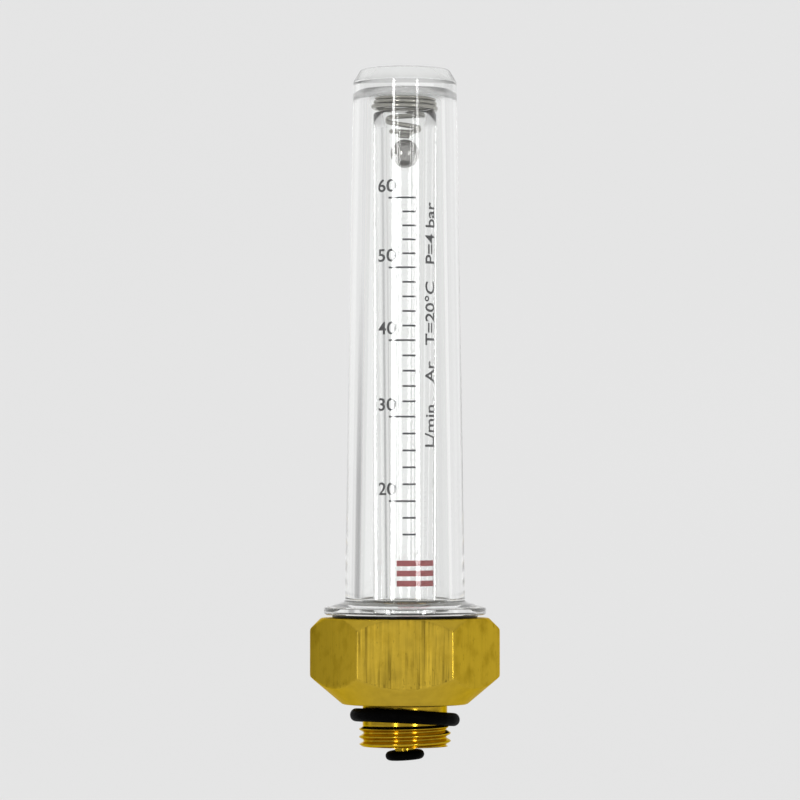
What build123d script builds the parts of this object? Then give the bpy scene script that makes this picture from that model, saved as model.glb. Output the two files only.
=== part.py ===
# Screw-in gas flow meter (a rotameter) as fitted to a welding gas regulator, in millimetres.
# A steel ball floats in a tapered clear tube that carries the scale.  The tube stands in a brass
# hub inside a brass hex body, under a clear pressure cover.  Gas comes up the central nozzle,
# through the tube, over its rim, down between tube and cover, and out around the nozzle.
# Frame: +Z up along the tube, origin on the axis at the lower end of the threaded stub.
# The scale faces -Y and two corners of the hexagon point to +X and -X.
from build123d import *
import math
import os

# threaded stub (M18 x 1.5) and the seal neck above it
thread_r = 8.9
thread_root_r = 8.05
thread_pitch = 1.5
crest_width = 0.4
stub_chamfer = 0.35
thread_top_z = 4.1
neck_r = 8.22
stub_bore_r = 6.6

# hexagon
hex_across_flats = 32.0
hex_bottom_z = 8.15
hex_top_z = 24.85
hex_top_land_r = 16.3
hex_bottom_land_r = 12.1
hex_bottom_chamfer_h = 5.45

# inside of the body, from the top down
cover_bore_r = 12.5
cover_bore_floor_z = 18.35
hub_bore_r = 9.42
hub_floor_z = 12.5
plenum_r = 8.4
plenum_floor_z = 11.2

# clear cover
gasket_t = 1.0
gasket_r = 14.1
gasket_recess = 0.6
gasket_recess_r = 14.15
cover_bottom_z = hex_top_z + gasket_t - gasket_recess
flange_r = 15.75
flange_rim_h = 1.6
flange_rise = 1.2
cover_base_r = 11.65
cover_shoulder_r = 10.1
cover_shoulder_z = 128.95
cover_top_r = 8.63
cover_top_z = 131.45
cavity_base_r = 8.9
cavity_top_r = 7.25
cavity_top_z = 127.6
spigot_r = 12.4
spigot_end_z = 18.85

# flow tube
tube_r = 6.15
tube_foot_z = 15.25
tube_rim_z = 122.95
bore_base_r = 2.87
bore_top_r = 3.75
bore_taper_z = 20.0
bore_end_z = 119.8
funnel_r = 4.6

# float ball, shown at the top of its travel against the spring
ball_r = 2.8
ball_z = 114.75

# brass hub and inlet nozzle in one piece
hub_r = 9.4
socket_r = 6.25
socket_floor_z = 13.5
pillar_r = 2.5
pillar_top_z = 19.5
gas_bore_r = 1.1
seat_r = 1.8
return_hole_r = 0.75
return_hole_pitch_r = 7.5
return_hole_count = 10
stem_boss_r = 2.32
stem_r = 2.0
stem_groove_r = 1.9
stem_lip_r = 2.05
stem_tip_z = -2.57

# retaining spring, wound from its wide top end down to the small neck that stops the ball
wire_r = 0.43
coil_r = 6.2
spring_top_z = 126.24

# printed scale: marks every 2 litres per minute
ink_t = 0.04
line_w = 0.3
first_reading = 16
last_reading = 60
reading_step = 2
scale_heights = {60: 105.97, 50: 92.47, 40: 78.39, 30: 63.63, 20: 47.33, 10: 31.23}
numeral_h = 2.5
numeral_rise = 2.45
numeral_angle = -32.5
units_h = 2.7
units_angle = 47.5
units_z = 81.5

os.makedirs("parts", exist_ok=True)


def turned(points):
    """Solid of revolution about Z from (radius, z) points."""
    wire = Polyline(*[(r, 0, z) for r, z in points], close=True)
    return revolve(make_face(wire), Axis.Z, 360)


def rod(radius, low, high, x=0.0, y=0.0):
    """Cylinder along Z between two heights."""
    return Pos(x, y, (low + high) / 2) * Cylinder(radius, high - low)


def ring(centre_r, radial, axial, z, tilt_x=0.0, tilt_y=0.0):
    """O-ring with an oval section, tilted a little about X and Y."""
    section = Pos(centre_r, 0, 0) * (Plane.XZ * Ellipse(radial, axial))
    return Pos(0, 0, z) * Rot(tilt_x, tilt_y, 0) * revolve(section, Axis.Z, 360)


def save(shape, name, colour):
    """Write one sub-part as its own STEP file."""
    shape.label = name
    shape.color = Color(*colour)
    export_step(shape, f"parts/{name}.step")


BRASS = (0.72, 0.58, 0.22)
RUBBER = (0.03, 0.03, 0.03)
CLEAR = (0.92, 0.95, 0.96, 0.3)
STEEL = (0.62, 0.61, 0.58)
INK = (0.2, 0.2, 0.21)
RED = (0.66, 0.16, 0.17)


# ---- brass body ----
def thread_profile():
    """Outline of the stub from its end face up to the neck: rings of crests at the pitch."""
    points = [(stub_bore_r, 0), (thread_r - stub_chamfer, 0), (thread_r, stub_chamfer)]
    low = stub_chamfer
    while True:
        high = low + crest_width
        points.append((thread_r, high))
        root = high + (thread_pitch - crest_width) / 2
        if root + 0.1 > thread_top_z - 0.3:
            break
        points += [(thread_root_r, root - 0.1), (thread_root_r, root + 0.1)]
        low += thread_pitch
        points.append((thread_r, low))
    return points + [(neck_r, thread_top_z), (neck_r, hex_bottom_z)]


def brass_body():
    corner_r = hex_across_flats / math.sqrt(3)
    height = hex_top_z - hex_bottom_z
    blank = extrude(RegularPolygon(corner_r, 6), height)
    blank = Pos(0, 0, hex_bottom_z) * blank
    # both ends of the hexagon are turned to a cone, which leaves the curved chamfer on each flat
    top_h = corner_r - hex_top_land_r
    cone = turned([
        (0, hex_bottom_z), (hex_bottom_land_r, hex_bottom_z),
        (corner_r + 0.1, hex_bottom_z + hex_bottom_chamfer_h),
        (corner_r + 0.1, hex_top_z - top_h), (hex_top_land_r, hex_top_z), (0, hex_top_z),
    ])
    hexagon = blank & cone
    stub = turned(thread_profile() + [(neck_r, hex_bottom_z + 1), (stub_bore_r, hex_bottom_z + 1)])
    body = hexagon + stub
    body -= rod(cover_bore_r, cover_bore_floor_z, hex_top_z + 1)
    body -= rod(hub_bore_r, hub_floor_z, hex_top_z)
    body -= rod(plenum_r, plenum_floor_z, hex_top_z)
    body -= rod(stub_bore_r, -1, hex_top_z)
    return body


# ---- hub and nozzle ----
def inlet_nozzle():
    body = turned([
        (gas_bore_r, stem_tip_z), (stem_lip_r - 0.15, stem_tip_z), (stem_lip_r, stem_tip_z + 0.1),
        (stem_lip_r, stem_tip_z + 0.24), (stem_groove_r, stem_tip_z + 0.32),
        (stem_groove_r, -0.68), (stem_r, -0.6), (stem_r, -0.35), (stem_boss_r, -0.15),
        (stem_boss_r, hub_floor_z), (hub_r, hub_floor_z), (hub_r, cover_bore_floor_z),
        (socket_r, cover_bore_floor_z), (socket_r, socket_floor_z), (pillar_r, socket_floor_z),
        (pillar_r, pillar_top_z - 0.2), (pillar_r - 0.2, pillar_top_z), (seat_r, pillar_top_z),
        (gas_bore_r, pillar_top_z - (seat_r - gas_bore_r)),
    ])
    for i in range(return_hole_count):
        a = 2 * math.pi * (i + 0.5) / return_hole_count
        x, y = return_hole_pitch_r * math.cos(a), return_hole_pitch_r * math.sin(a)
        body -= rod(return_hole_r, hub_floor_z - 1, cover_bore_floor_z + 1, x, y)
    return body


# ---- clear cover ----
def clear_cover():
    rim_top_z = cover_bottom_z + flange_rim_h
    body_z = rim_top_z + flange_rise
    outer = turned([
        (0, spigot_end_z), (spigot_r - 0.4, spigot_end_z), (spigot_r, spigot_end_z + 0.4),
        (spigot_r, cover_bottom_z + gasket_recess), (gasket_recess_r, cover_bottom_z + gasket_recess),
        (gasket_recess_r, cover_bottom_z), (flange_r - 0.45, cover_bottom_z),
        (flange_r - 0.12, cover_bottom_z + 0.15), (flange_r, cover_bottom_z + 0.5),
        (flange_r, rim_top_z - 0.12), (flange_r - 0.15, rim_top_z + 0.02),
        (cover_base_r + 0.35, body_z - 0.1), (cover_base_r + 0.08, body_z + 0.12),
        (cover_base_r, body_z + 0.55),
        (cover_shoulder_r, cover_shoulder_z), (cover_top_r, cover_top_z), (0, cover_top_z),
    ])
    cavity = turned([
        (0, spigot_end_z - 1), (cavity_base_r, spigot_end_z - 1), (cavity_base_r, cover_bottom_z),
        (cavity_top_r, cavity_top_z - 1.2), (cavity_top_r - 0.35, cavity_top_z - 0.35),
        (cavity_top_r - 1.2, cavity_top_z), (0, cavity_top_z),
    ])
    return outer - cavity


# ---- flow tube ----
def flow_tube():
    return turned([
        (bore_base_r, tube_foot_z), (tube_r - 0.2, tube_foot_z), (tube_r, tube_foot_z + 0.2),
        (tube_r, tube_rim_z - 0.55), (tube_r - 0.16, tube_rim_z - 0.16),
        (tube_r - 0.55, tube_rim_z), (funnel_r + 0.25, tube_rim_z),
        (funnel_r, tube_rim_z - 0.3), (bore_top_r, bore_end_z), (bore_base_r, bore_taper_z),
    ])


# ---- retaining spring ----
def eased(values):
    """Values with their corners rounded off, so the wire bends gently from one cone to the next."""
    for _ in range(40):
        inner = [(a + 2 * b + c) / 4 for a, b, c in zip(values, values[1:], values[2:])]
        values = [values[0]] + inner + [values[-1]]
    return values


def spring_points():
    """Wire centre every tenth of a turn: close coils, a step inward, a cone, then the neck."""
    stops = [  # turns, radius, depth below the top coil
        (0.0, 5.62, 0.0), (1.2, 5.75, 1.05), (2.1, coil_r, 1.86), (2.6, 5.95, 2.32),
        (3.1, 3.95, 2.42), (3.44, 3.65, 4.4), (3.94, 3.5, 4.85), (4.44, 2.77, 6.55),
        (4.94, 2.7, 6.72), (5.5, 1.1, 7.12), (6.0, 1.0, 7.6), (6.3, 1.0, 7.72),
    ]
    steps = 630
    radii, depths = [], []
    for i in range(steps + 1):
        turn = i / 100
        for (t0, r0, d0), (t1, r1, d1) in zip(stops, stops[1:]):
            if turn <= t1 + 1e-6:
                break
        u = (turn - t0) / (t1 - t0)
        radii.append(r0 + (r1 - r0) * u * u * (3 - 2 * u))
        depths.append(d0 + (d1 - d0) * u)
    radii, depths = eased(radii), eased(depths)
    points = []
    for i in range(0, steps + 1, 10):
        a = 2 * math.pi * i / 100 + math.radians(200)
        points.append((radii[i] * math.cos(a), radii[i] * math.sin(a), spring_top_z - wire_r - depths[i]))
    return points


def retaining_spring():
    path = Spline(*spring_points())
    start = Plane(origin=path @ 0, z_dir=path % 0)
    return sweep(start * Circle(wire_r), path=path)


# ---- printed scale on the front of the tube ----
def reading_z(reading):
    """Height of a reading: the scale is even between one numbered mark and the next."""
    below = min(reading // 10 * 10, last_reading - 10)
    share = (reading - below) / 10
    return scale_heights[below] * (1 - share) + scale_heights[below + 10] * share


def ink_patch(angle_from, angle_to, low, high):
    """Thin curved patch on the tube between two angles from the front, in degrees towards +X."""
    shell = rod(tube_r + ink_t, low, high) - rod(tube_r, low - 1, high + 1)
    reach = 2 * tube_r
    a, b = math.radians(angle_from), math.radians(angle_to)
    wedge = make_face(Polyline(
        (0, 0), (reach * math.sin(a), -reach * math.cos(a)),
        (reach * math.sin(b), -reach * math.cos(b)), close=True,
    ))
    return shell & (Pos(0, 0, low - 1) * extrude(wedge, high - low + 2))


def arc(cx, cy, rx, ry, start, end):
    """Points along an elliptical arc, angles in degrees."""
    count = max(4, round(abs(end - start) / 24))
    angles = [math.radians(start + (end - start) * i / count) for i in range(count + 1)]
    return [(cx + rx * math.cos(a), cy + ry * math.sin(a)) for a in angles]


def glyph_strokes(letter):
    """Pen strokes of a plain figure or letter in a cell one wide and 1.5 high."""
    bowl = arc(0.5, 0.5, 0.36, 0.4, 0, 335)
    hump = arc(0.45, 0.55, 0.3, 0.4, 160, 0) + [(0.75, 0.1)]
    return {
        "0": [arc(0.5, 0.75, 0.36, 0.65, 0, 350)],
        "2": [arc(0.5, 1.03, 0.36, 0.37, 165, -35) + [(0.14, 0.1), (0.88, 0.1)]],
        "3": [arc(0.48, 1.08, 0.33, 0.32, 150, -80), arc(0.48, 0.44, 0.37, 0.35, 80, -150)],
        "4": [[(0.68, 0.1), (0.68, 1.4), (0.1, 0.48)], [(0.1, 0.48), (0.92, 0.48)]],
        "5": [[(0.84, 1.4), (0.25, 1.4), (0.17, 0.7)], arc(0.48, 0.52, 0.38, 0.42, 145, -145)],
        "6": [arc(0.5, 0.52, 0.36, 0.42, 0, 345), arc(0.76, 0.6, 0.62, 0.8, 185, 95)],
        "L": [[(0.2, 1.4), (0.2, 0.1), (0.85, 0.1)]],
        "/": [[(0.2, 0), (0.7, 1.5)]],
        "i": [[(0.5, 0.1), (0.5, 0.95)], [(0.5, 1.2), (0.5, 1.38)]],
        "n": [[(0.15, 0.1), (0.15, 0.98)], hump],
        "m": [[(0.05, 0.1), (0.05, 0.98)], arc(0.27, 0.65, 0.22, 0.3, 170, 0) + [(0.49, 0.1)],
              arc(0.71, 0.65, 0.22, 0.3, 170, 0) + [(0.93, 0.1)]],
        "r": [[(0.25, 0.1), (0.25, 0.98)], arc(0.6, 0.55, 0.35, 0.4, 160, 70)],
        "a": [bowl, [(0.86, 0.1), (0.86, 0.98)]],
        "b": [bowl, [(0.12, 0.1), (0.12, 1.45)]],
        "A": [[(0.05, 0.1), (0.5, 1.4), (0.95, 0.1)], [(0.25, 0.5), (0.75, 0.5)]],
        "C": [arc(0.52, 0.75, 0.38, 0.65, 40, 320)],
        " ": [],
    }[letter]


def stroke_outline(points, width):
    """Closed outline of a pen stroke with mitred corners."""
    left, right = [], []
    for i, (x, y) in enumerate(points):
        x0, y0 = points[max(i - 1, 0)]
        x1, y1 = points[min(i + 1, len(points) - 1)]
        before, after = math.atan2(y - y0, x - x0), math.atan2(y1 - y, x1 - x)
        if i == 0:
            before = after
        if i == len(points) - 1:
            after = before
        half_turn = math.remainder(after - before, 2 * math.pi) / 2
        reach = width / 2 / max(math.cos(half_turn), 0.5)
        normal = before + half_turn + math.pi / 2
        left.append((x + reach * math.cos(normal), y + reach * math.sin(normal)))
        right.append((x - reach * math.cos(normal), y - reach * math.sin(normal)))
    return left + right[::-1]


def lettering(words, height, angle, z, turned_up=False):
    """Ink solids of a line of plain lettering, centred at an angle from the front of the tube."""
    unit = height / 1.5
    advance = 1.25
    pieces = []
    for i, letter in enumerate(words):
        shift = (i - (len(words) - 1) / 2) * advance - 0.5
        glyph = None
        for stroke in glyph_strokes(letter):
            points = [((x + shift) * unit, (y - 0.75) * unit) for x, y in stroke]
            outline = stroke_outline(points, line_w)
            if turned_up:
                outline = [(-v, u) for u, v in outline]
            block = extrude(Plane.XZ * make_face(Polyline(*outline, close=True)), 2 * tube_r)
            glyph = block if glyph is None else glyph + block
        if glyph is None:
            continue
        glyph = Pos(0, 0, z) * Rot(0, 0, angle) * glyph
        box = glyph.bounding_box()
        low, high = box.min.Z - 0.5, box.max.Z + 0.5
        shell = rod(tube_r + ink_t, low, high) - rod(tube_r, low - 1, high + 1)
        pieces += list((shell & glyph).solids())
    return pieces


def scale_lines(readings, angle_from):
    patches = []
    for reading in readings:
        z = reading_z(reading)
        patches.append(ink_patch(angle_from, 18.6, z - line_w / 2, z + line_w / 2))
    return Compound(children=[s for patch in patches for s in patch.solids()])


majors = [20, 30, 40, 50, 60]
minors = [r for r in range(first_reading, last_reading, reading_step) if r not in majors]
numerals = []
for r in majors:
    numerals += lettering(str(r), numeral_h, numeral_angle, reading_z(r) + numeral_rise)
units = lettering("L/min  Ar  20 C  4 bar", units_h, units_angle, units_z, turned_up=True)

save(brass_body(), "brass_body", BRASS)
save(inlet_nozzle(), "inlet_nozzle", BRASS)
save(ring(9.46, 1.19, 1.28, 5.63, -3.1, 2.8), "stub_seal_ring", RUBBER)
save(ring(2.86, 0.9, 0.9, -1.67, 1.4, -3.6), "nozzle_seal_ring", RUBBER)
save(ring(4.5, 0.87, 0.87, socket_floor_z + 0.88), "tube_seat_ring", RUBBER)
gasket = rod(gasket_r, hex_top_z, hex_top_z + gasket_t)
gasket -= rod(spigot_r + 0.15, hex_top_z - 1, cover_bottom_z + 1)
save(gasket, "cover_gasket", RUBBER)
save(clear_cover(), "clear_cover", CLEAR)
save(flow_tube(), "flow_tube", CLEAR)
save(Pos(0, 0, ball_z) * Sphere(ball_r), "float_ball", STEEL)
save(retaining_spring(), "retaining_spring", STEEL)
save(scale_lines(majors, -28), "scale_major_lines", INK)
save(scale_lines(minors, -4), "scale_minor_lines", INK)
save(Compound(children=numerals), "scale_numerals", INK)
save(Compound(children=units), "scale_units", INK)
bars = [ink_patch(-14, 58, low, low + 1.1) for low in (30.88, 32.83, 34.78)]
save(Compound(children=[s for bar in bars for s in bar.solids()]), "red_band_mark", RED)
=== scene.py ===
import bpy
import bmesh
import math
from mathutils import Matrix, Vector


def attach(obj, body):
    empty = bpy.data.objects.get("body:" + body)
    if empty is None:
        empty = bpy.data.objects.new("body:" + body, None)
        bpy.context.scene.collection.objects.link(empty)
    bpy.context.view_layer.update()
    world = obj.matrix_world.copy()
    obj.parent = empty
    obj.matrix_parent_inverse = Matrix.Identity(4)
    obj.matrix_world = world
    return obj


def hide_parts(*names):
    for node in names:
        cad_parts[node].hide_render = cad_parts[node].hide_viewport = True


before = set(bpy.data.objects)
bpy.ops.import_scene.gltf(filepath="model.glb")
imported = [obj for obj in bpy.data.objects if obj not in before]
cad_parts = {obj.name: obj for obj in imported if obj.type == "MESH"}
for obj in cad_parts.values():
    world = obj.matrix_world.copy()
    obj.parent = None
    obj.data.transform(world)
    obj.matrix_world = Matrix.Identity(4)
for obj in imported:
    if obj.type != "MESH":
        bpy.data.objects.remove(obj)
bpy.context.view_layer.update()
scene = bpy.context.scene
MM = 0.001

# ---------------------------------------------------------------- sizes, in millimetres
# The origin is on the axis at the lower end of the stub; +Z is up the tube, -Y is the scale side.
ACROSS_FLATS = 32.0
HEX_CORNER_R = ACROSS_FLATS / math.sqrt(3)
FRONT_FLAT_HALF = 9.24                  # half the width of the flat that faces -Y
HEX_BOTTOM, HEX_TOP = 8.15, 24.85
CONE_FOOT_R, CONE_HEIGHT = 12.1, 5.45   # lower cone, from its foot up to the corners
CONE_TOP_R = HEX_CORNER_R + 0.1
CHAMFER_TOP_R = 16.3                    # 45 degree chamfer: its radius at the hexagon's top
THREAD_R, THREAD_ROOT_R, THREAD_PITCH = 8.88, 8.06, 1.5
THREAD_TOP = 4.22
NECK_R = 8.22
STUB_BORE_R = 6.6
CAVITY_R = 12.5
GASKET_R, GASKET_INNER_R, GASKET_BOTTOM, GASKET_TOP = 14.1, 12.6, 24.86, 26.04
FLANGE_UNDERSIDE = 25.45
RECESS_R, RECESS_TOP = 14.13, 26.05     # the flange's recess for the gasket
SPIGOT_R = 12.4
COVER_TOP_Z, CAVITY_TOP_Z = 131.45, 127.6
TUBE_R, TUBE_BORE_R = 6.15, 2.87
TUBE_BOTTOM, TUBE_TOP = 15.26, 122.94
BALL_R, BALL_Z = 2.8, 114.75
WIRE_R, SPRING_TOP = 0.43, 126.24
INK_T = 0.03


# ---------------------------------------------------------------- mesh helpers
def new_object(name, mesh, smooth=True):
    for poly in mesh.polygons:
        poly.use_smooth = smooth
    obj = bpy.data.objects.new(name, mesh)
    scene.collection.objects.link(obj)
    return obj


def to_mesh(name, bm):
    """Write a bmesh out as a mesh and free it."""
    mesh = bpy.data.meshes.new(name)
    bm.to_mesh(mesh)
    bm.free()
    return mesh


def dress(obj, looks, choose):
    """Give obj several materials; choose picks one for a face from its centre in millimetres."""
    for look in looks:
        obj.data.materials.append(look)
    for poly in obj.data.polygons:
        poly.material_index = looks.index(choose(poly.center / MM))


def from_rings(name, rings, close_rings=False, cap=False):
    """Quad skin over rings of points in millimetres.

    close_rings joins the last ring to the first, and cap closes the two ends.
    A ring of one point is a pole.
    """
    bm = bmesh.new()
    rows = []
    for ring in rings:
        rows.append([bm.verts.new(Vector(p) * MM) for p in ring])
    pairs = list(zip(rows, rows[1:]))
    if close_rings:
        pairs.append((rows[-1], rows[0]))
    for a, b in pairs:
        n = max(len(a), len(b))
        for i in range(n):
            j = (i + 1) % n
            if len(a) == 1:
                bm.faces.new((a[0], b[j], b[i]))
            elif len(b) == 1:
                bm.faces.new((a[i], a[j], b[0]))
            else:
                bm.faces.new((a[i], a[j], b[j], b[i]))
    if cap:
        bm.faces.new(rows[0][::-1])
        bm.faces.new(rows[-1])
    bmesh.ops.recalc_face_normals(bm, faces=bm.faces[:])
    return new_object(name, to_mesh(name, bm))


def fillet(points, closed=True):
    """Profile with rounded corners from (r, z, fillet radius) points."""
    out = []
    n = len(points)
    for i, (r, z, rad) in enumerate(points):
        if rad <= 0 or (not closed and i in (0, n - 1)):
            out.append((r, z))
            continue
        p = Vector((r, z))
        a = Vector(points[i - 1][:2])
        b = Vector(points[(i + 1) % n][:2])
        u, v = (a - p).normalized(), (b - p).normalized()
        half = u.angle(v) / 2
        reach = min(rad / math.tan(half), 0.49 * (a - p).length, 0.49 * (b - p).length)
        rad = reach * math.tan(half)
        centre = p + (u + v).normalized() * (rad / math.sin(half))
        start, end = p + u * reach, p + v * reach
        a0 = math.atan2(start.y - centre.y, start.x - centre.x)
        a1 = math.atan2(end.y - centre.y, end.x - centre.x)
        turn = math.remainder(a1 - a0, 2 * math.pi)
        steps = max(3, int(abs(turn) / math.radians(12)))
        for k in range(steps + 1):
            t = a0 + turn * k / steps
            out.append((centre.x + rad * math.cos(t), centre.y + rad * math.sin(t)))
    return out


def lathe(name, profile, segments=192, closed=True):
    """Solid of revolution.  An open profile starts and ends on the axis."""
    angles = [2 * math.pi * i / segments for i in range(segments)]
    rings = []
    for r, z in profile:
        if r < 1e-6:
            rings.append([(0, 0, z)])
        else:
            rings.append([(r * math.cos(a), r * math.sin(a), z) for a in angles])
    return from_rings(name, rings, close_rings=closed)


def smooth_min(values, k):
    """Lowest of the values, with the corner where two of them meet rounded over about k."""
    low = min(values)
    return low - k * math.log(sum(math.exp(-(v - low) / k) for v in values))


def tube_along(name, points, radius, sides=20):
    """Round wire along points, with flat ends."""
    rings = []
    count = len(points)
    up = Vector((0, 0, 1))
    for i, p in enumerate(points):
        tangent = (points[min(i + 1, count - 1)] - points[max(i - 1, 0)]).normalized()
        side = tangent.cross(up).normalized()
        top = side.cross(tangent)
        ring = []
        for k in range(sides):
            a = 2 * math.pi * k / sides
            ring.append(p + (side * math.cos(a) + top * math.sin(a)) * radius)
        rings.append(ring)
    return from_rings(name, rings, cap=True)


# ---------------------------------------------------------------- material helpers
MIX_A, MIX_B, MIX_RESULT = 6, 7, 2      # colour sockets of a Mix node
BRASS_TINT = (0.95, 0.8, 0.35, 1)       # brass at grazing angles


def material(name):
    """New node material: the material, its tree and its shader."""
    mat = bpy.data.materials.new(name)
    mat.use_nodes = True
    tree = mat.node_tree
    bsdf = tree.nodes["Principled BSDF"]
    return mat, tree, bsdf


def add(tree, kind, **values):
    """New node; a key that starts with in_ sets an input socket, any other key a property."""
    node = tree.nodes.new(kind)
    for key, value in values.items():
        if key.startswith("in_"):
            name = key[3:].replace("_", " ")
            node.inputs[name].default_value = value
        else:
            setattr(node, key, value)
    return node


def stretched_noise(tree, stretch, scale, detail):
    """Noise in object space, in waves per metre, stretched where a factor is below 1."""
    coords = add(tree, "ShaderNodeTexCoord")
    mapping = add(tree, "ShaderNodeMapping")
    mapping.inputs["Scale"].default_value = stretch
    tree.links.new(coords.outputs["Object"], mapping.inputs["Vector"])
    tex = add(tree, "ShaderNodeTexNoise", in_Scale=scale, in_Detail=detail, in_Roughness=0.55)
    tree.links.new(mapping.outputs["Vector"], tex.inputs["Vector"])
    return tex.outputs["Fac"]


def ramp(tree, source, stops):
    """Colour ramp over source, from (position, colour) stops; the output is its colour."""
    node = add(tree, "ShaderNodeValToRGB")
    elements = node.color_ramp.elements
    while len(elements) > 1:
        elements.remove(elements[-1])
    for i, (pos, colour) in enumerate(stops):
        element = elements.new(pos) if i else elements[0]
        element.position = pos
        element.color = (*colour, 1)
    tree.links.new(source, node.inputs["Fac"])
    return node.outputs["Color"]


def multiply(tree, first, second, factor=1.0):
    """First colour times the second; factor is a number or an output."""
    node = add(tree, "ShaderNodeMix", data_type="RGBA", blend_type="MULTIPLY")
    if isinstance(factor, float):
        node.inputs["Factor"].default_value = factor
    else:
        tree.links.new(factor, node.inputs["Factor"])
    tree.links.new(first, node.inputs[MIX_A])
    tree.links.new(second, node.inputs[MIX_B])
    return node.outputs[MIX_RESULT]


def roughness(tree, source, low, high):
    """Roughness over source, between two (position, roughness) stops."""
    out = ramp(tree, source, [(pos, grey(value)) for pos, value in (low, high)])
    tree.links.new(out, tree.nodes["Principled BSDF"].inputs["Roughness"])


def bumps(tree, source, strength, distance):
    """Fine relief in the shader from source; distance in metres."""
    node = add(tree, "ShaderNodeBump", in_Strength=strength, in_Distance=distance)
    tree.links.new(source, node.inputs["Height"])
    tree.links.new(node.outputs["Normal"], tree.nodes["Principled BSDF"].inputs["Normal"])


def scaled(colour, k):
    return tuple(c * k for c in colour)


def grey(v):
    return (v, v, v)


# ---------------------------------------------------------------- materials
def brass_material(name, base, dark, rough, streaks):
    """Drawn brass: tone patches, upright streaks that come and go, and small dark specks."""
    mat, tree, bsdf = material(name)
    bsdf.inputs["Metallic"].default_value = 1.0
    bsdf.inputs["Specular Tint"].default_value = BRASS_TINT
    patches = stretched_noise(tree, (1, 1, 1), 260, 5)
    tone = ramp(tree, patches, [(0.3, dark), (0.52, base), (0.75, base)])
    lines = stretched_noise(tree, (1, 1, 0.035), 2600, 3)
    shade = ramp(tree, lines, [(0.35, grey(0.45)), (0.5, grey(0.88)),
                               (0.62, grey(1.0)), (0.7, grey(1.12))])
    broad = stretched_noise(tree, (1, 1, 0.05), 800, 2)
    band = ramp(tree, broad, [(0.35, grey(0.72)), (0.5, grey(0.95)),
                              (0.62, grey(1.0)), (0.7, grey(1.25))])
    banded = multiply(tree, shade, band, streaks)
    where = ramp(tree, stretched_noise(tree, (1, 1, 0.3), 330, 3),
                 [(0.38, grey(0.35 * streaks)), (0.56, grey(streaks))])
    streaked = multiply(tree, tone, banded, where)

    # Specks, more of them in a band near the bottom of the streaked faces.
    coords = add(tree, "ShaderNodeTexCoord")
    axes = add(tree, "ShaderNodeSeparateXYZ")
    tree.links.new(coords.outputs["Generated"], axes.inputs["Vector"])
    more = 0.11 if streaks > 0.5 else 0.0
    low_band = ramp(tree, axes.outputs["Z"], [(0.44, grey(0.0)), (0.49, grey(more)),
                                              (0.53, grey(0.6 * more)), (0.6, grey(0.0))])
    specks = add(tree, "ShaderNodeMath", operation="SUBTRACT")
    tree.links.new(stretched_noise(tree, (1, 1, 0.35), 2000, 2), specks.inputs[0])
    tree.links.new(low_band, specks.inputs[1])
    spots = ramp(tree, specks.outputs["Value"], [(0.24, grey(0.55)), (0.34, grey(1.0))])
    marked = multiply(tree, streaked, spots)

    # Painted shade: the base colour is darkened towards the -X side.
    side = ramp(tree, axes.outputs["X"], [(0.0, grey(0.76)), (0.12, grey(0.86)), (0.28, grey(1.0))])
    tree.links.new(multiply(tree, marked, side), bsdf.inputs["Base Color"])
    roughness(tree, patches, (0.3, rough + 0.1), (0.7, rough - 0.05))
    bumps(tree, lines, 0.35 * streaks, 0.00006)
    return mat


def turned_brass_material(name, base, rough, patchy=0.8):
    """Turned brass with fine rings left by the tool."""
    mat, tree, bsdf = material(name)
    bsdf.inputs["Metallic"].default_value = 1.0
    bsdf.inputs["Specular Tint"].default_value = BRASS_TINT
    patches = stretched_noise(tree, (1, 1, 1), 500, 3)
    tone = ramp(tree, patches, [(0.3, scaled(base, patchy)), (0.65, base)])
    tree.links.new(tone, bsdf.inputs["Base Color"])
    roughness(tree, patches, (0.3, rough + 0.08), (0.7, rough))
    bumps(tree, stretched_noise(tree, (0.02, 0.02, 1), 9000, 2), 0.15, 0.00003)
    return mat


def rubber_material(name, tone, rough, gloss_level):
    """Black rubber, slightly cloudy."""
    mat, tree, bsdf = material(name)
    bsdf.inputs["Specular IOR Level"].default_value = gloss_level
    cloud = stretched_noise(tree, (1, 1, 1), 900, 4)
    colour = ramp(tree, cloud, [(0.35, grey(tone * 0.7)), (0.7, grey(tone * 1.5))])
    tree.links.new(colour, bsdf.inputs["Base Color"])
    roughness(tree, cloud, (0.3, rough + 0.12), (0.7, rough - 0.06))
    bumps(tree, cloud, 0.2, 0.00003)
    return mat


def steel_material(name, base, rough, stretch):
    """Bright steel with a faint grain, drawn out where a stretch factor is below 1."""
    mat, tree, bsdf = material(name)
    bsdf.inputs["Metallic"].default_value = 1.0
    lines = stretched_noise(tree, stretch, 1500, 4)
    tone = ramp(tree, lines, [(0.35, scaled(base, 0.82)), (0.65, base)])
    tree.links.new(tone, bsdf.inputs["Base Color"])
    roughness(tree, lines, (0.3, rough + 0.07), (0.7, rough - 0.04))
    return mat


def clear_material(name, tint, ior, rough=0.0, transmission=1.0):
    """Clear plastic: smooth, with a faint long-wave ripple left by moulding."""
    mat, tree, bsdf = material(name)
    bsdf.inputs["Transmission Weight"].default_value = transmission
    bsdf.inputs["Roughness"].default_value = rough
    bsdf.inputs["IOR"].default_value = ior
    ripple = stretched_noise(tree, (1, 1, 0.12), 160, 2)
    lighter = tuple(min(1, c * 1.01) for c in tint)
    tree.links.new(ramp(tree, ripple, [(0.3, tint), (0.7, lighter)]), bsdf.inputs["Base Color"])
    bumps(tree, ripple, 0.12, 0.0001)
    return mat


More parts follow.
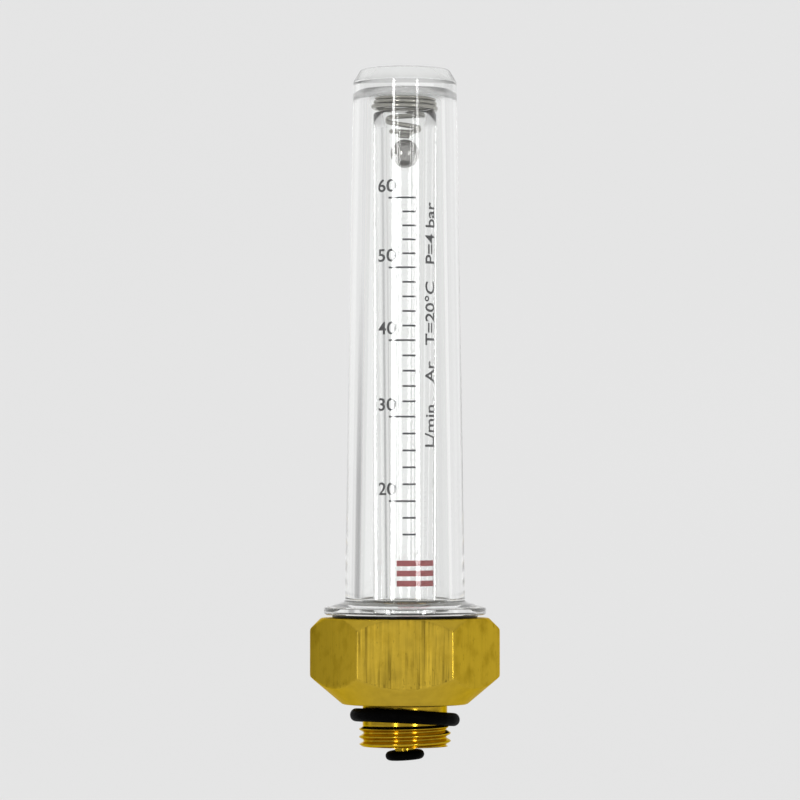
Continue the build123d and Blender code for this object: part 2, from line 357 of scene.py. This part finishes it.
def ink_material(name, base, light):
    """Printing ink with a fine grain."""
    mat, tree, bsdf = material(name)
    grain = stretched_noise(tree, (1, 1, 1), 4200, 3)
    tree.links.new(ramp(tree, grain, [(0.35, base), (0.68, light)]), bsdf.inputs["Base Color"])
    roughness(tree, grain, (0.3, 0.45), (0.7, 0.6))
    return mat


SIDE_BRASS = (0.56, 0.385, 0.04)
BRASS_DRAWN = brass_material("brass_drawn", (0.60, 0.41, 0.042), (0.47, 0.315, 0.028), 0.36, 0.9)
BRASS_SIDE = brass_material("brass_side", SIDE_BRASS, (0.43, 0.29, 0.025), 0.38, 0.22)
BRASS_TURNED = turned_brass_material("brass_turned", (0.53, 0.34, 0.024), 0.12)
# Painted shade: near-black brass for the band of neck just under the hexagon.
BRASS_PAINTED_SHADE = turned_brass_material("brass_painted_shade", (0.035, 0.02, 0.006), 0.3)
BRASS_CONE = turned_brass_material("brass_cone", SIDE_BRASS, 0.36, 0.9)
# Corner brass: its low roughness is polish, and its brighter base colour is a painted highlight
# along the corners.
BRASS_EDGE_HIGHLIGHT = turned_brass_material("brass_edge_highlight", (0.70, 0.48, 0.045), 0.16, 0.9)
RUBBER = rubber_material("rubber_black", 0.0006, 0.5, 0.015)
GASKET = rubber_material("gasket_black", 0.004, 0.35, 0.25)
STEEL_BALL = steel_material("steel_ball", (0.40, 0.39, 0.375), 0.08, (1, 1, 1))
STEEL_WIRE = steel_material("steel_wire", (0.40, 0.39, 0.35), 0.17, (1, 1, 0.3))
COVER_IOR = 1.58
COVER_CLEAR = clear_material("cover_clear", (0.985, 0.99, 0.985), COVER_IOR)
COVER_SPIGOT = clear_material("cover_spigot_frosted", (0.9, 0.9, 0.86), COVER_IOR, 0.6, 0.25)
COVER_TOP = clear_material("cover_top_frosted", (0.93, 0.94, 0.93), COVER_IOR, 0.25, 0.72)
COVER_DOME = clear_material("cover_dome_soft", (0.99, 0.995, 0.99), COVER_IOR, 0.42)
TUBE_CLEAR = clear_material("tube_clear", (0.99, 0.993, 0.99), 1.5)
INK = ink_material("ink_dark", (0.035, 0.035, 0.04), (0.08, 0.08, 0.085))
RED_INK = ink_material("ink_red", (0.43, 0.07, 0.075), (0.55, 0.11, 0.11))


# ---------------------------------------------------------------- brass body
def sector_angles(per_sector, crowd):
    """Angles round the hexagon, crowded towards its corners at 0, 60, 120 degrees and so on."""
    out = []
    for s in range(6):
        for i in range(per_sector):
            t = i / per_sector
            pull = crowd * math.sin(2 * math.pi * t) / (2 * math.pi)
            out.append(math.radians(60) * (s + t - pull))
    return out


def hexagon_r(a):
    """Distance from the axis to the hexagon's side at angle a, its corners slightly rounded."""
    flats = []
    for k in range(6):
        c = math.cos(a - math.radians(30 + 60 * k))
        if c > 0.3:
            flats.append(ACROSS_FLATS / 2 / c)
    return smooth_min(flats, 0.08)


def cone_radii(z):
    """Radius of the lower cone and of the upper chamfer at height z."""
    lower = CONE_FOOT_R + (z - HEX_BOTTOM) * (CONE_TOP_R - CONE_FOOT_R) / CONE_HEIGHT
    return lower, CHAMFER_TOP_R + (HEX_TOP - z)


def hex_outer_r(a, z):
    """Outside of the hexagon at angle a and height z, rounded at its top and bottom edges."""
    r = smooth_min([hexagon_r(a), *cone_radii(z)], 0.13)
    edge = 0.22
    for gap in (HEX_TOP - z, z - HEX_BOTTOM):
        if gap < edge:
            r -= edge * (1 - math.sqrt(max(0.0, 1 - ((edge - gap) / edge) ** 2)))
    return r


def thread_outer_r(a, z):
    """Helical thread with flattened crests, run out into the neck above and chamfered below."""
    start_turn, crest, flank, rounding = 0.78, 0.12, 0.74, 0.35
    run_out_from, run_out_height = 3.5, 0.72
    chamfer_r, chamfer_slope = 8.35, 1.25
    phase = (z / THREAD_PITCH - a / (2 * math.pi) + start_turn) % 1.0
    wave = abs(phase - 0.5) * 2
    depth = min(1.0, max(0.0, (wave - crest) / flank))
    depth = depth * depth * (3 - 2 * depth) * rounding + depth * (1 - rounding)
    r = THREAD_R - (THREAD_R - THREAD_ROOT_R) * depth
    run_out = min(1.0, max(0.0, (z - run_out_from) / run_out_height))
    r = r + (NECK_R - r) * run_out
    return min(r, chamfer_r + z * chamfer_slope)


def falling(start, stop, step):
    """Heights from start down towards stop by equal steps."""
    heights = []
    z = start
    while z > stop:
        heights.append(z)
        z -= step
    return heights


def brass_body():
    """Hexagon, neck and threaded stub in one skin, from the bore round the outside to the bore."""
    angles = sector_angles(44, 0.75)

    def circle(r, z):
        return [(r * math.cos(a), r * math.sin(a), z) for a in angles]

    def shaped(f, z):
        return [(f(a, z) * math.cos(a), f(a, z) * math.sin(a), z) for a in angles]

    inner = fillet([
        (STUB_BORE_R, 0.0, 0.12), (STUB_BORE_R, 11.2, 0), (8.4, 11.2, 0), (8.4, 12.5, 0),
        (9.42, 12.5, 0), (9.42, 18.35, 0), (CAVITY_R, 18.35, 0), (CAVITY_R, 24.3, 0),
        (13.05, HEX_TOP, 0.1), (14.2, HEX_TOP, 0),
    ], closed=False)
    rings = [circle(r, z) for r, z in inner]
    sides = [HEX_TOP - d for d in (0, 0.01, 0.04, 0.09, 0.16, 0.25, 0.4)]
    sides += falling(24.2, 21.9, 0.13)
    sides += [21.5, 20.5, 19, 17.5, 16, 15, 14.3]
    sides += falling(13.9, 8.5, 0.13)
    sides += [HEX_BOTTOM + d for d in (0.25, 0.16, 0.09, 0.04, 0.01, 0)]
    rings += [shaped(hex_outer_r, z) for z in sides]
    rings += [circle(11.2, HEX_BOTTOM), circle(NECK_R + 0.3, HEX_BOTTOM)]
    rings += [circle(NECK_R + 0.12, 8.10), circle(NECK_R + 0.03, 8.0), circle(NECK_R, 7.85)]
    rings += [circle(NECK_R, z) for z in (7.0, 6.0, 5.0, 4.5, 4.3)]
    rings += [shaped(thread_outer_r, z) for z in falling(THREAD_TOP, 0.03, 0.055)]
    rings += [circle(8.33, 0.0), circle(7.4, 0.0)]
    return from_rings("brass_hex_body", rings, close_rings=True)


def body_look(c):
    """Brass that a face of the body shows, from its centre in millimetres."""
    painted_shade_from, painted_shade_to, painted_shade_r = 7.5, 8.2, 9.6
    underside_r, cavity_cone_r = 11.0, 13
    highlight_edge_width, plain_width = math.radians(0.8), 0.1
    out = math.hypot(c.x, c.y)
    turn = math.atan2(c.y, c.x)
    cones = min(cone_radii(c.z))
    below_hexagon = c.z < HEX_BOTTOM + 0.15
    inside = c.z < HEX_TOP + 0.05 and out < CAVITY_R + 0.1 and cones > cavity_cone_r
    from_corner = abs(math.remainder(turn, math.radians(60)))
    plain_corner = abs(turn + math.radians(120)) <= plain_width
    # Painted shade under the hexagon: the top of the neck gets the near-black brass.
    if painted_shade_from < c.z < painted_shade_to and out < painted_shade_r:
        return BRASS_PAINTED_SHADE
    if (out < underside_r) if below_hexagon else inside:
        return BRASS_TURNED
    if below_hexagon or cones < hexagon_r(turn):
        return BRASS_CONE
    # Every corner but the one at -120 degrees gets the polished brass with its painted highlight.
    if from_corner < highlight_edge_width and not plain_corner:
        return BRASS_EDGE_HIGHLIGHT
    return BRASS_SIDE if abs(c.x) > FRONT_FLAT_HALF else BRASS_DRAWN


body = brass_body()
dress(body, (BRASS_DRAWN, BRASS_TURNED, BRASS_CONE, BRASS_EDGE_HIGHLIGHT, BRASS_SIDE, BRASS_PAINTED_SHADE),
      body_look)
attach(body, "body")
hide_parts("brass_body")


# ---------------------------------------------------------------- seal rings
def seal_ring(name, centre_r, radial, axial, z, tilt, segments=160, sides=36):
    """O-ring with an oval section.  tilt gives the height slope along X and Y."""
    rings = []
    for i in range(segments):
        a = 2 * math.pi * i / segments
        x, y = math.cos(a), math.sin(a)
        lift = centre_r * (tilt[0] * x + tilt[1] * y)
        ring = []
        for k in range(sides):
            b = 2 * math.pi * k / sides
            r = centre_r + radial * math.cos(b)
            ring.append((r * x, r * y, z + lift + axial * math.sin(b)))
        rings.append(ring)
    obj = from_rings(name, rings, close_rings=True)
    obj.data.materials.append(RUBBER)
    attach(obj, "body")
    return obj


big_ring = seal_ring("stub_o_ring", 9.46, radial=1.19, axial=1.28, z=5.6, tilt=(-0.0488, -0.0541))
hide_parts("stub_seal_ring")
small_ring = seal_ring("nozzle_o_ring", 2.86, radial=0.9, axial=0.9, z=-1.67, tilt=(0.0629, 0.0244),
                       segments=96)
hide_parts("nozzle_seal_ring")

gasket = lathe("flange_gasket", fillet([
    (GASKET_INNER_R, GASKET_BOTTOM, 0.05), (GASKET_R - 0.05, GASKET_BOTTOM, 0.1),
    (GASKET_R, GASKET_BOTTOM + 0.22, 0.1), (GASKET_R, GASKET_TOP, 0.05),
    (GASKET_INNER_R, GASKET_TOP, 0.05),
]))
gasket.data.materials.append(GASKET)
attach(gasket, "body")
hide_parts("cover_gasket")


# ---------------------------------------------------------------- clear cover
def cover_look(c):
    """Finish that a face of the cover shows, from its centre in millimetres."""
    top_from, dome_from, dome_r, spigot_to = 128.9, 125.5, 7.3, 25.3
    out = math.hypot(c.x, c.y)
    if c.z > top_from:
        return COVER_TOP
    if c.z > dome_from and out < dome_r:
        return COVER_DOME
    if c.z < spigot_to and out < SPIGOT_R + 0.2:
        return COVER_SPIGOT
    return COVER_CLEAR


cover = lathe("cover_shell", fillet([
    (0, COVER_TOP_Z, 0), (8.63, COVER_TOP_Z, 0.7), (10.1, 128.95, 0.8), (11.65, 28.05, 0.7),
    (15.72, 26.85, 0.25), (15.74, FLANGE_UNDERSIDE, 0.5), (RECESS_R, FLANGE_UNDERSIDE, 0.05),
    (RECESS_R, RECESS_TOP, 0.02), (SPIGOT_R, RECESS_TOP, 0.05), (SPIGOT_R, 18.9, 0.25),
    (8.9, 18.86, 0.15), (8.89, 23.0, 0), (8.88, 25.2, 0.2), (7.25, 126.2, 2.2),
    (5.2, CAVITY_TOP_Z, 2.2), (0, CAVITY_TOP_Z, 0),
], closed=False), closed=False)
dress(cover, (COVER_CLEAR, COVER_TOP, COVER_SPIGOT, COVER_DOME), cover_look)
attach(cover, "cover")
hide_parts("clear_cover")


# ---------------------------------------------------------------- flow tube
tube = lathe("flow_tube_glass", fillet([
    (TUBE_BORE_R, TUBE_BOTTOM, 0.1), (TUBE_R, TUBE_BOTTOM, 0.2), (TUBE_R, TUBE_TOP, 0.55),
    (4.85, TUBE_TOP, 0.15), (4.6, 122.65, 0.2), (3.75, 119.8, 1.0), (TUBE_BORE_R, 20.0, 0.5),
]))
tube.data.materials.append(TUBE_CLEAR)
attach(tube, "body")
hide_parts("flow_tube")


# ---------------------------------------------------------------- ball
def steel_ball():
    bm = bmesh.new()
    bmesh.ops.create_icosphere(bm, subdivisions=5, radius=BALL_R * MM)
    bmesh.ops.translate(bm, verts=bm.verts[:], vec=(0, 0, BALL_Z * MM))
    return new_object("steel_ball", to_mesh("steel_ball", bm))


ball = steel_ball()
ball.data.materials.append(STEEL_BALL)
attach(ball, "float")
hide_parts("float_ball")


# ---------------------------------------------------------------- spring
def eased(values):
    """Values with their corners rounded off, so the wire bends gently between its parts."""
    for _ in range(40):
        inner = [(a + 2 * b + c) / 4 for a, b, c in zip(values, values[1:], values[2:])]
        values = [values[0]] + inner + [values[-1]]
    return values


def spring_points():
    """Wire centre: close coils, a step inward, a cone, then the neck that stops the ball."""
    per_turn = 100
    start = math.radians(200)
    stops = [  # turns, radius, depth below the top coil
        (0.0, 5.62, 0.0), (1.2, 5.75, 1.05), (2.1, 6.2, 1.86), (2.6, 5.95, 2.32),
        (3.1, 3.95, 2.42), (3.44, 3.65, 4.4), (3.94, 3.5, 4.85), (4.44, 2.77, 6.55),
        (4.94, 2.7, 6.72), (5.5, 1.1, 7.12), (6.0, 1.0, 7.6), (6.3, 1.0, 7.72),
    ]
    radii, depths = [], []
    for i in range(round(stops[-1][0] * per_turn) + 1):
        turn = i / per_turn
        for (t0, r0, d0), (t1, r1, d1) in zip(stops, stops[1:]):
            if turn <= t1 + 1e-6:
                break
        u = (turn - t0) / (t1 - t0)
        radii.append(r0 + (r1 - r0) * u * u * (3 - 2 * u))
        depths.append(d0 + (d1 - d0) * u)
    out = []
    for i, (r, d) in enumerate(zip(eased(radii), eased(depths))):
        a = 2 * math.pi * i / per_turn + start
        out.append(Vector((r * math.cos(a), r * math.sin(a), SPRING_TOP - WIRE_R - d)))
    return out


spring = tube_along("conical_spring", spring_points(), WIRE_R)
spring.data.materials.append(STEEL_WIRE)
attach(spring, "body")
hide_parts("retaining_spring")


# ---------------------------------------------------------------- printed scale
# Heights of the readings.  10 isn't printed; it gives the spacing of the marks below 20.
SCALE_HEIGHTS = {60: 105.97, 50: 92.47, 40: 78.39, 30: 63.63, 20: 47.33, 10: 31.23}
LINE_END, LONG_FROM, SHORT_FROM = 18.6, -28, -4     # degrees round the tube from its front
HALF_LINE = 0.18
ARC_PER_DEGREE = math.pi / 180 * TUBE_R
FONT_CAP_HEIGHT = 0.729                             # of the font at size 1
LONGEST_EDGE = 0.45                                 # of the lettering before it is wrapped
FIGURE_HEIGHT, FIGURE_WIDTH, FIGURE_ANGLE, FIGURE_LIFT = 2.5, 3.85, -32.5, 2.45
UNITS_HEIGHT, UNITS_LENGTH, UNITS_ANGLE, UNITS_MIDDLE = 2.6, 47.4, 47.5, 81.5
RED_FROM, RED_TO, RED_HEIGHT, RED_BOTTOMS = -14, 58, 1.1, (30.88, 32.83, 34.78)


def reading_z(reading):
    """Height of a reading: the scale is even between one numbered mark and the next."""
    below = min(reading // 10 * 10, 50)
    share = (reading - below) / 10
    return SCALE_HEIGHTS[below] * (1 - share) + SCALE_HEIGHTS[below + 10] * share


def on_tube(a, z, r):
    """Point at angle a from the front towards +X."""
    return Vector((r * math.sin(a), -r * math.cos(a), z))


def wrap(x, z, r):
    """Point on the tube: x is the arc length from the front towards +X."""
    return on_tube(x / TUBE_R, z, r)


def printed(name, bm, mat, node):
    """Piece of print made from a bmesh on the tube."""
    obj = new_object(name, to_mesh(name, bm), smooth=False)
    obj.data.materials.append(mat)
    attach(obj, "body")
    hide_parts(node)


def print_bars(name, bars, mat, node):
    """Thin curved bars from (angle from, angle to, low, high) in degrees and millimetres."""
    bm = bmesh.new()
    outer_r = TUBE_R + INK_T
    for a0, a1, low, high in bars:
        steps = max(2, int((a1 - a0) / 3))
        columns = []
        for i in range(steps + 1):
            a = math.radians(a0 + (a1 - a0) * i / steps)
            section = ((TUBE_R, low), (TUBE_R, high), (outer_r, high), (outer_r, low))
            columns.append([bm.verts.new(on_tube(a, z, r) * MM) for r, z in section])
        for a, b in zip(columns, columns[1:]):
            for k in range(4):
                m = (k + 1) % 4
                bm.faces.new((a[k], a[m], b[m], b[k]))
        bm.faces.new(columns[0])
        bm.faces.new(columns[-1][::-1])
    bmesh.ops.recalc_face_normals(bm, faces=bm.faces[:])
    printed(name, bm, mat, node)


def line_marks(readings, start):
    """Bars at the readings, from start to the lines' common end."""
    marks = []
    for z in map(reading_z, readings):
        marks.append((start, LINE_END, z - HALF_LINE, z + HALF_LINE))
    return marks


def lettering(words):
    """Flat solid lettering in Blender's own plain font, at size 1, as a bmesh."""
    curve = bpy.data.curves.new("lettering", "FONT")
    curve.body = words
    curve.size = 1.0
    curve.resolution_u = 4
    curve.extrude = 0.5
    curve.offset = 0.012
    curve.align_x = "CENTER"
    holder = bpy.data.objects.new("lettering", curve)
    scene.collection.objects.link(holder)
    bpy.context.view_layer.update()
    evaluated = holder.evaluated_get(bpy.context.evaluated_depsgraph_get())
    flat = bpy.data.meshes.new_from_object(evaluated)
    bpy.data.objects.remove(holder)
    bm = bmesh.new()
    bm.from_mesh(flat)
    bpy.data.meshes.remove(flat)
    bmesh.ops.remove_doubles(bm, verts=bm.verts[:], dist=1e-5)
    return bm


def split_long_edges(bm):
    """Triangles short enough to follow the tube when the lettering is wrapped."""
    bmesh.ops.triangulate(bm, faces=bm.faces[:])
    for _ in range(5):
        long_edges = []
        for edge in bm.edges:
            a, b = (v.co.xy for v in edge.verts)
            if (a - b).length > LONGEST_EDGE:
                long_edges.append(edge)
        if not long_edges:
            break
        bmesh.ops.subdivide_edges(bm, edges=long_edges, cuts=1)
        bmesh.ops.triangulate(bm, faces=bm.faces[:])


def print_text(name, lines, node):
    """Lettering wrapped on the tube.

    Each line is (words, cap height, width or None, centre arc, centre z, turned up).
    """
    target = bmesh.new()
    for words, cap_height, width, centre_x, centre_z, turned in lines:
        bm = lettering(words)
        xs = [v.co.x for v in bm.verts]
        scale_y = cap_height / FONT_CAP_HEIGHT
        scale_x = width / (max(xs) - min(xs)) if width else scale_y
        mid_x = (max(xs) + min(xs)) / 2
        for v in bm.verts:
            v.co.x = (v.co.x - mid_x) * scale_x
            v.co.y = (v.co.y - FONT_CAP_HEIGHT / 2) * scale_y
        split_long_edges(bm)
        for v in bm.verts:
            r = TUBE_R + (INK_T if v.co.z > 0 else 0.0)
            if turned:
                p = wrap(centre_x - v.co.y, centre_z + v.co.x, r)
            else:
                p = wrap(centre_x + v.co.x, centre_z + v.co.y, r)
            v.co = p * MM
        bmesh.ops.recalc_face_normals(bm, faces=bm.faces[:])
        part = to_mesh("part", bm)
        target.from_mesh(part)
        bpy.data.meshes.remove(part)
    printed(name, target, INK, node)


majors = [20, 30, 40, 50, 60]
minors = [r for r in range(16, 60, 2) if r not in majors]
print_bars("long_marks", line_marks(majors, LONG_FROM), INK, "scale_major_lines")
print_bars("short_marks", line_marks(minors, SHORT_FROM), INK, "scale_minor_lines")
print_text("figures", [
    (str(r), FIGURE_HEIGHT, FIGURE_WIDTH, FIGURE_ANGLE * ARC_PER_DEGREE,
     reading_z(r) + FIGURE_LIFT, False) for r in majors
], "scale_numerals")
print_text("unit_lettering", [
    ("L/min    Ar   T=20°C   P=4 bar", UNITS_HEIGHT, UNITS_LENGTH, UNITS_ANGLE * ARC_PER_DEGREE,
     UNITS_MIDDLE, True),
], "scale_units")
print_bars("red_bars", [(RED_FROM, RED_TO, low, low + RED_HEIGHT) for low in RED_BOTTOMS],
           RED_INK, "red_band_mark")

# ---------------------------------------------------------------- CAD nodes shown as they are
for name, mat in (("inlet_nozzle", BRASS_TURNED), ("tube_seat_ring", RUBBER)):
    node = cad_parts[name]
    node.data.materials.clear()
    node.data.materials.append(mat)


# ---------------------------------------------------------------- light tent, floor and lamps
OBJECT_MIDDLE = Vector((0, 0, 0.06))    # in metres, as all of this section but the tent


def cloth_material(name, tone):
    """Matt cloth, a little cloudy."""
    mat, tree, bsdf = material(name)
    cloud = stretched_noise(tree, (1, 1, 1), 1.5, 2)
    shade = ramp(tree, cloud, [(0.3, grey(tone * 0.97)), (0.7, grey(tone * 1.03))])
    tree.links.new(shade, bsdf.inputs["Base Color"])
    bsdf.inputs["Roughness"].default_value = 1.0
    bsdf.inputs["Specular IOR Level"].default_value = 0.0
    return mat


def tent():
    """Pale floor that curves up into the wall and roof of a light tent, in millimetres."""
    floor, roof, wall, bend = -100, 2300, 2200, 900
    profile = fillet([(0, floor, 0), (wall, floor, bend), (wall, roof, bend), (0, roof, 0)],
                     closed=False)
    obj = lathe("tent_floor", profile, segments=96, closed=False)
    mat = cloth_material("tent_cloth", 0.3)
    bsdf = mat.node_tree.nodes["Principled BSDF"]
    bsdf.inputs["Emission Color"].default_value = (1, 1, 1, 1)
    bsdf.inputs["Emission Strength"].default_value = 0.545
    obj.data.materials.append(mat)
    return obj


tent()


def facing(azimuth, distance, z):
    """Place and turn for something that faces the object; azimuth in degrees, front to +X."""
    a = math.radians(azimuth)
    place = Vector((distance * math.sin(a), -distance * math.cos(a), z))
    return place, (OBJECT_MIDDLE - place).to_track_quat("-Z", "Y").to_euler()


def lamp(name, azimuths, low, high, radiance, distance=1.0, lights_floor=True):
    """Soft box that spans two azimuths and two heights, hidden from the camera itself.

    Without lights_floor it shows in glossy and clear pieces only, and adds nothing to matt ones.
    """
    data = bpy.data.lights.new(name, "AREA")
    data.shape = "RECTANGLE"
    data.size = 2 * distance * math.tan(math.radians(azimuths[1] - azimuths[0]) / 2)
    data.size_y = high - low
    data.energy = radiance * math.pi * data.size * data.size_y
    obj = bpy.data.objects.new(name, data)
    obj.location, obj.rotation_euler = facing(sum(azimuths) / 2, distance, (low + high) / 2)
    obj.visible_camera = False
    obj.visible_diffuse = lights_floor
    scene.collection.objects.link(obj)


def dark_card(name, azimuths, low, high, tone, distance=1.0):
    """Soft-edged grey card beside the object, which gives the clear parts their darker sides."""
    place, turn = facing(sum(azimuths) / 2, distance, (low + high) / 2)
    half_w = distance * math.tan(math.radians(azimuths[1] - azimuths[0]) / 2)
    half_h = (high - low) / 2
    signs = ((-1, -1), (1, -1), (1, 1), (-1, 1))
    mesh = bpy.data.meshes.new(name)
    mesh.from_pydata([(u * half_w, v * half_h, 0) for u, v in signs], [], [(0, 1, 2, 3)])
    obj = new_object(name, mesh)
    obj.location, obj.rotation_euler = place, turn
    obj.visible_camera = False
    mat = cloth_material(name, tone)
    tree = mat.node_tree
    coords = add(tree, "ShaderNodeTexCoord")
    axes = add(tree, "ShaderNodeSeparateXYZ")
    tree.links.new(coords.outputs["Generated"], axes.inputs["Vector"])
    clear, solid = grey(0), grey(1)
    across = ramp(tree, axes.outputs["X"], [(0.0, clear), (0.3, solid), (0.7, solid), (1.0, clear)])
    upward = ramp(tree, axes.outputs["Y"], [(0.0, clear), (0.1, solid), (0.7, solid), (1.0, clear)])
    alpha = add(tree, "ShaderNodeMath", operation="MULTIPLY")
    tree.links.new(across, alpha.inputs[0])
    tree.links.new(upward, alpha.inputs[1])
    tree.links.new(alpha.outputs["Value"], tree.nodes["Principled BSDF"].inputs["Alpha"])
    obj.data.materials.append(mat)


def room_screen(azimuths, low, high, tone, distance):
    """Curved dim screen for the unlit room behind the camera; only glossy rays meet it."""
    steps = 48
    row = []
    for i in range(steps + 1):
        a = math.radians(azimuths[0] + (azimuths[1] - azimuths[0]) * i / steps)
        row.append((distance * math.sin(a), -distance * math.cos(a)))
    places = [(x, y, z) for z in (low, high) for x, y in row]
    faces = [(i, i + 1, steps + 1 + i + 1, steps + 1 + i) for i in range(steps)]
    mesh = bpy.data.meshes.new("room_screen")
    mesh.from_pydata(places, [], faces)
    obj = new_object("room_screen", mesh)
    obj.data.materials.append(cloth_material("room_cloth", tone))
    obj.visible_camera = False
    obj.visible_diffuse = False
    obj.visible_transmission = False
    obj.visible_shadow = False


# Azimuths in degrees, heights in metres, then radiance or tone.  The low boxes light the brass.
LEFT_BOX, RIGHT_BOX = (-27.5, -22), (25, 30)
lamp("soft_box_left", LEFT_BOX, 0.02, 0.35, 14.0)
lamp("soft_box_left_low", LEFT_BOX, -0.12, 0.02, 7.0, lights_floor=False)
lamp("soft_box_right", RIGHT_BOX, 0.02, 0.35, 8.0)
lamp("soft_box_right_low", RIGHT_BOX, -0.12, 0.02, 22.0, lights_floor=False)
lamp("back_panel", (172, 206), -0.10, 0.60, 0.12)
lamp("side_panel_right", (114, 127), -0.10, 0.45, 0.14)
dark_card("grey_card_left", (-142, -114), -0.35, 0.20, 0.5)
room_screen((-105, 105), -0.095, 1.1, 0.5, 1.4)

world = bpy.data.worlds.new("studio")
world.use_nodes = True
background = world.node_tree.nodes["Background"]
background.inputs["Color"].default_value = (1, 1, 1, 1)
background.inputs["Strength"].default_value = 0.3
scene.world = world

# ---------------------------------------------------------------- camera
CAMERA_PLACE = (-0.00095, -0.795, 0.043)
CAMERA_TILT = 1.74                      # degrees above level
camera_data = bpy.data.cameras.new("camera")
camera_data.sensor_width = 36
camera_data.lens = 184.1
camera_data.clip_start = 0.05
camera = bpy.data.objects.new("camera", camera_data)
camera.location = CAMERA_PLACE
camera.rotation_euler = (math.radians(90 + CAMERA_TILT), 0, 0)
scene.collection.objects.link(camera)
scene.camera = camera

scene.view_settings.view_transform = "Standard"
scene.cycles.max_bounces = 32
scene.cycles.transmission_bounces = 32
scene.cycles.glossy_bounces = 16
